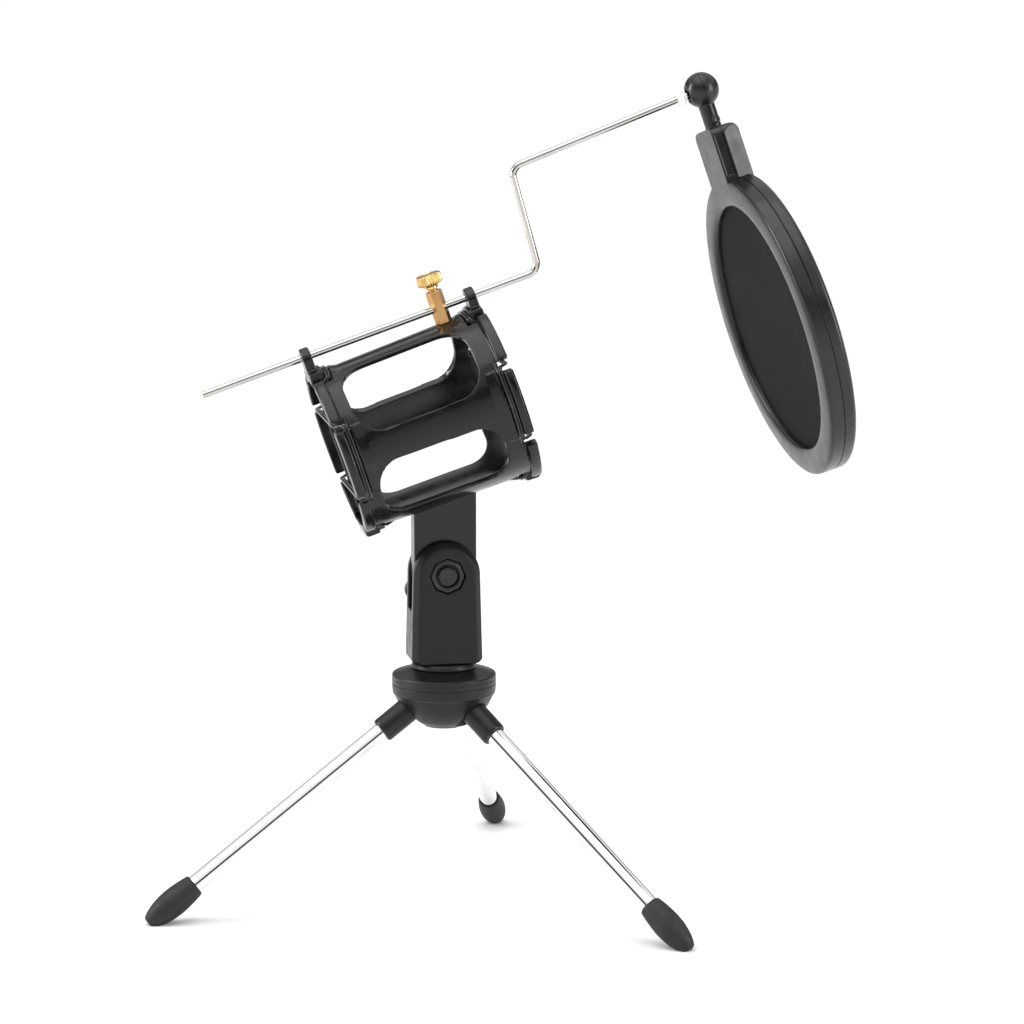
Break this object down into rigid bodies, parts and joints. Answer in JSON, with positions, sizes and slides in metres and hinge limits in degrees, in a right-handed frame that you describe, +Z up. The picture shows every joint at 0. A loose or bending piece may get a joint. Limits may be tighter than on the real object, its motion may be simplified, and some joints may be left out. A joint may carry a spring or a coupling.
{
  "type": "pop filter",
  "caption": "Desktop tripod stand with a tilting elastic shock-mount cage for a microphone and a round mesh pop filter on a cranked rod.",
  "frame": {"origin": "centre of the whole outline at desk level, under the stand, with every joint at rest", "axes": "+Z up; +X from the cage towards the filter, square to the tilt pivot; +Y along the tilt pivot towards the wing knob"},
  "size_m": [0.2994, 0.229, 0.3542],
  "materials": {
    "black_abs": "satin moulded ABS",
    "cage_abs": "satin moulded ABS, slightly glossier than the hub",
    "knob_abs": "satin moulded ABS",
    "filter_abs": "smooth semi-gloss ABS",
    "black_nut": "black oxide, slightly worn edges",
    "foot_rubber": "matt rubber",
    "leg_chrome": "polished chrome",
    "rod_steel": "polished steel wire",
    "ball_steel": "polished steel",
    "nut_zinc": "bright zinc plate",
    "zinc_stud": "bright zinc plate",
    "screw_steel": "bright zinc plate",
    "brass_insert": "turned brass",
    "brass_post": "satin brass",
    "brass_knurl": "polished knurled brass",
    "elastic": "satin black rubber cord",
    "mesh_fabric": "fine dark knitted nylon mesh"
  },
  "bodies": {
    "tripod": {"hub_body": "black_abs", "hub_cap": "black_abs", "hub_screw": "screw_steel", "threaded_stud": "zinc_stud", "lock_collar": "black_abs", "leg_pins": "screw_steel"},
    "leg_1": {"leg_sleeve_1": "black_abs", "leg_tube_1": "leg_chrome", "leg_foot_1": "foot_rubber"},
    "leg_2": {"leg_sleeve_2": "black_abs", "leg_tube_2": "leg_chrome", "leg_foot_2": "foot_rubber"},
    "leg_3": {"leg_sleeve_3": "black_abs", "leg_tube_3": "leg_chrome", "leg_foot_3": "foot_rubber"},
    "yoke": {"yoke": "black_abs", "thread_insert": "brass_insert", "pivot_nut": "black_nut"},
    "wing_knob": {"wing_knob": "knob_abs", "pivot_bolt": "screw_steel", "knob_washer": "screw_steel"},
    "cage": {"cage": "cage_abs", "band_rear_level": "elastic", "band_rear_upright": "elastic", "band_front_level": "elastic", "band_front_upright": "elastic", "brass_post": "brass_post", "post_screw": "screw_steel"},
    "thumb_screw": {"thumb_screw": "brass_knurl"},
    "rod": {"rod": "rod_steel", "rod_nut": "nut_zinc"},
    "rod_ball": {"rod_ball": "ball_steel"},
    "filter": {"filter_rear_shell": "filter_abs", "filter_front_shell": "filter_abs", "mesh_rear": "mesh_fabric", "mesh_front": "mesh_fabric", "mesh_hoop": "black_abs", "filter_screws": "screw_steel"}
  },
  "joints": [
    {"name": "leg_1_fold", "type": "hinge", "parent": "tripod", "child": "leg_1", "pos_m": [-0.01277, 0.00173, 0.0856], "axis": [-0.9397, 0.342, 0], "range_deg": [0, 54]},
    {"name": "leg_2_fold", "type": "hinge", "parent": "tripod", "child": "leg_2", "pos_m": [-0.03111, -0.01366, 0.0856], "axis": [0.1736, -0.9848, 0], "range_deg": [0, 54]},
    {"name": "leg_3_fold", "type": "hinge", "parent": "tripod", "child": "leg_3", "pos_m": [-0.00861, -0.02185, 0.0856], "axis": [0.766, 0.6428, 0], "range_deg": [0, 54]},
    {"name": "yoke_swivel", "type": "hinge", "parent": "tripod", "child": "yoke", "pos_m": [-0.0175, -0.01126, 0.109], "axis": [0, 0, 1], "range_deg": [-170, 170]},
    {"name": "cage_tilt", "type": "hinge", "parent": "yoke", "child": "cage", "pos_m": [-0.0175, -0.01126, 0.1426], "axis": [0, 1, 0], "range_deg": [-40, 50]},
    {"name": "wing_knob_turn", "type": "hinge", "parent": "yoke", "child": "wing_knob", "pos_m": [-0.0175, -0.01126, 0.1426], "axis": [0, 1, 0], "continuous": true},
    {"name": "thumb_screw_turn", "type": "hinge", "parent": "cage", "child": "thumb_screw", "pos_m": [-0.02138, -0.01126, 0.26258], "axis": [-0.328, 0, 0.9447], "continuous": true},
    {"name": "rod_slide", "type": "slide", "parent": "cage", "child": "rod", "axis": [0.9447, 0, 0.328], "range_m": [-0.02, 0.04]},
    {"name": "filter_roll", "type": "hinge", "parent": "rod", "child": "rod_ball", "pos_m": [0.09391, -0.01126, 0.34675], "axis": [0.9314, 0, 0.3641], "range_deg": [-90, 90]},
    {"name": "filter_tilt", "type": "hinge", "parent": "rod_ball", "child": "filter", "pos_m": [0.09391, -0.01126, 0.34675], "axis": [-0.0095, 0.9887, -0.1496], "range_deg": [-13, 13]}
  ]
}
